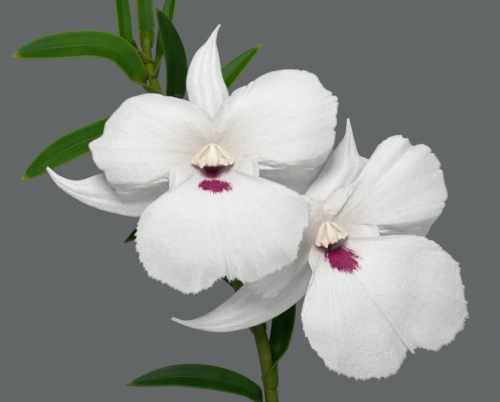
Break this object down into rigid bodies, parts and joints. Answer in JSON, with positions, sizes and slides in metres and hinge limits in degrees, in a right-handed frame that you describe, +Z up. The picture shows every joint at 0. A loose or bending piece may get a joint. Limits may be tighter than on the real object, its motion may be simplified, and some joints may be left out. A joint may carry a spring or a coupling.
{
  "type": "potted dendrobium parthenium orchid",
  "caption": "Potted orchid with tall leafy canes and large white flowers, each with a broad toothed lip marked with purple, in a plain clay pot of bark.",
  "frame": {"origin": "middle of the flat underside of the pot, where the part stands on a surface", "axes": "+Z up along the pot's axis and the canes, -Y towards the viewer, the way the flowers face, +X to the viewer's right"},
  "size_m": [0.15, 0.11, 0.374],
  "materials": {
    "clay": "unglazed fired clay, matte",
    "bark": "rough conifer bark chips",
    "cane": "living plant stem, satin, standing in for plant tissue",
    "leaf": "living leaf, waxy satin, standing in for plant tissue",
    "petal": "white petal, finely crystalline, soft satin, standing in for plant tissue",
    "lip": "white lip with a purple spot at its throat, standing in for plant tissue",
    "column": "cream to pale pink, waxy, standing in for plant tissue"
  },
  "bodies": {
    "root": {"pot": "clay", "bark_medium": "bark", "flowering_cane": "cane", "leaf_top": "leaf", "leaf_upper_left": "leaf", "leaf_upper_right": "leaf", "leaf_long_left": "leaf", "leaf_dark_right": "leaf", "leaf_low_left": "leaf", "leaf_behind_right": "leaf", "leaf_hidden_left": "leaf", "leaf_hidden_back": "leaf", "leaf_below_right": "leaf", "leaf_below_left": "leaf", "leaf_lower_1": "leaf", "leaf_lower_2": "leaf", "leaf_lower_3": "leaf", "side_cane_left": "cane", "side_cane_left_leaf_1": "leaf", "side_cane_left_leaf_2": "leaf", "side_cane_left_leaf_3": "leaf", "side_cane_left_leaf_4": "leaf", "side_cane_right": "cane", "side_cane_right_leaf_1": "leaf", "side_cane_right_leaf_2": "leaf", "side_cane_right_leaf_3": "leaf", "side_cane_right_leaf_4": "leaf", "flower_1_dorsal_sepal": "petal", "flower_1_sepal_left": "petal", "flower_1_sepal_right": "petal", "flower_1_petal_left": "petal", "flower_1_petal_right": "petal", "flower_1_lip": "lip", "flower_1_column": "column", "flower_1_anther_cap": "column", "flower_1_stalk": "petal", "flower_2_dorsal_sepal": "petal", "flower_2_sepal_left": "petal", "flower_2_sepal_right": "petal", "flower_2_petal_left": "petal", "flower_2_petal_right": "petal", "flower_2_lip": "lip", "flower_2_column": "column", "flower_2_anther_cap": "column", "flower_2_stalk": "petal"}
  },
  "joints": []
}
